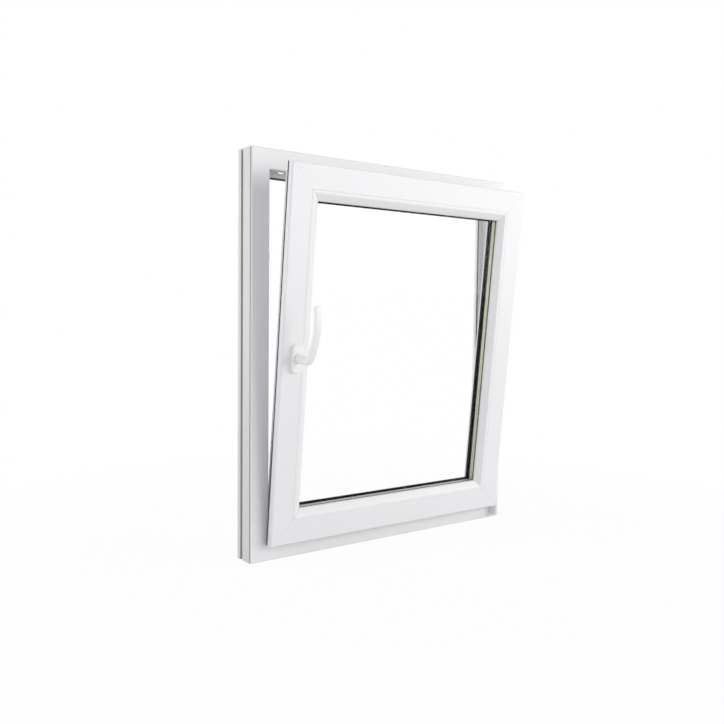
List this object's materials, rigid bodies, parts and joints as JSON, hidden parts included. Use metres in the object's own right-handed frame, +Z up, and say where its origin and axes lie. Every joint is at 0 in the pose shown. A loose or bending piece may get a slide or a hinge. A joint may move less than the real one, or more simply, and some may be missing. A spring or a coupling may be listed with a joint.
{
  "type": "tilt and turn window",
  "caption": "White plastic window with a double glazed sash that tilts in at the top on a stay or swings in like a door, worked by a lever handle.",
  "frame": {"origin": "middle of the sill's underside", "axes": "+X to the hinge side seen from the room, +Y from the room to the open air, +Z up"},
  "size_m": [0.9, 0.2488, 1.05],
  "materials": {
    "white_profile": "smooth white extruded plastic",
    "white_bead": "smooth white extruded plastic",
    "clear_glass": "clear float glass",
    "spacer_metal": "dull bent spacer bar",
    "grey_seal": "soft grey seal",
    "black_seal": "soft black seal",
    "zinc_steel": "zinc plated steel",
    "white_hinge": "white enamel",
    "white_handle": "white enamel",
    "white_cover": "moulded white plastic"
  },
  "bodies": {
    "frame": {"frame_sill": "white_profile", "frame_right_jamb": "white_profile", "frame_head": "white_profile", "frame_left_jamb": "white_profile", "frame_seal": "black_seal", "keep_head": "zinc_steel", "keep_sill": "zinc_steel", "keep_jamb_upper": "zinc_steel", "keep_jamb_lower": "zinc_steel", "corner_hinge_bracket": "white_hinge", "stay_hinge_bracket": "white_hinge", "drain_cover_left": "white_cover", "drain_cover_right": "white_cover"},
    "hinge": {"corner_hinge_knuckle": "white_hinge"},
    "stay": {"stay_arm": "zinc_steel"},
    "sash": {"sash_bottom_rail": "white_profile", "sash_right_stile": "white_profile", "sash_top_rail": "white_profile", "sash_left_stile": "white_profile", "bead_bottom": "white_bead", "bead_right": "white_bead", "bead_top": "white_bead", "bead_left": "white_bead", "glass_inner": "clear_glass", "glass_outer": "clear_glass", "glass_spacer": "spacer_metal", "glass_seal_inner": "grey_seal", "glass_seal_outer": "black_seal", "sash_seal": "black_seal", "stile_face_plate": "zinc_steel", "top_face_plate": "zinc_steel", "bottom_face_plate": "zinc_steel", "corner_drive_upper": "zinc_steel", "corner_drive_lower": "zinc_steel", "sash_hinge_strap": "white_hinge", "handle_rosette": "white_handle"},
    "handle": {"handle_lever": "white_handle"},
    "stile_cams": {"stile_cam_upper": "zinc_steel", "stile_cam_lower": "zinc_steel"},
    "top_cams": {"top_cam": "zinc_steel"},
    "bottom_cams": {"bottom_cam": "zinc_steel"}
  },
  "joints": [
    {"name": "sash_turn", "type": "hinge", "parent": "frame", "child": "hinge", "pos_m": [0.42, -0.055, 0.048], "axis": [0, 0, -1], "range_deg": [-90, 0]},
    {"name": "sash_tilt", "type": "hinge", "parent": "hinge", "child": "sash", "pos_m": [0, -0.055, 0.048], "axis": [1, 0, 0], "range_deg": [-5.6, 0]},
    {"name": "stay_swing", "type": "hinge", "parent": "hinge", "child": "stay", "pos_m": [0.42, -0.055, 0.99], "axis": [0, 0, 1], "range_deg": [-13.88, 0]},
    {"name": "handle_turn", "type": "hinge", "parent": "sash", "child": "handle", "pos_m": [-0.3635, -0.10985, 0.52543], "axis": [0, -0.9952, -0.0976], "range_deg": [-180, 0]},
    {"name": "stile_cam_slide", "type": "slide", "parent": "sash", "child": "stile_cams", "axis": [0, -0.0976, 0.9952], "range_m": [-0.0361, 0]},
    {"name": "top_cam_slide", "type": "slide", "parent": "sash", "child": "top_cams", "axis": [1, 0, 0], "range_m": [-0.0361, 0]},
    {"name": "bottom_cam_slide", "type": "slide", "parent": "sash", "child": "bottom_cams", "axis": [-1, 0, 0], "range_m": [-0.0361, 0]}
  ],
  "couplings": [
    {"joint": "stay_swing", "follows": "sash_tilt", "ratio": 2.4759},
    {"joint": "stile_cam_slide", "follows": "handle_turn", "m_per_rad": 0.011459},
    {"joint": "top_cam_slide", "follows": "handle_turn", "m_per_rad": 0.011459},
    {"joint": "bottom_cam_slide", "follows": "handle_turn", "m_per_rad": 0.011459}
  ]
}
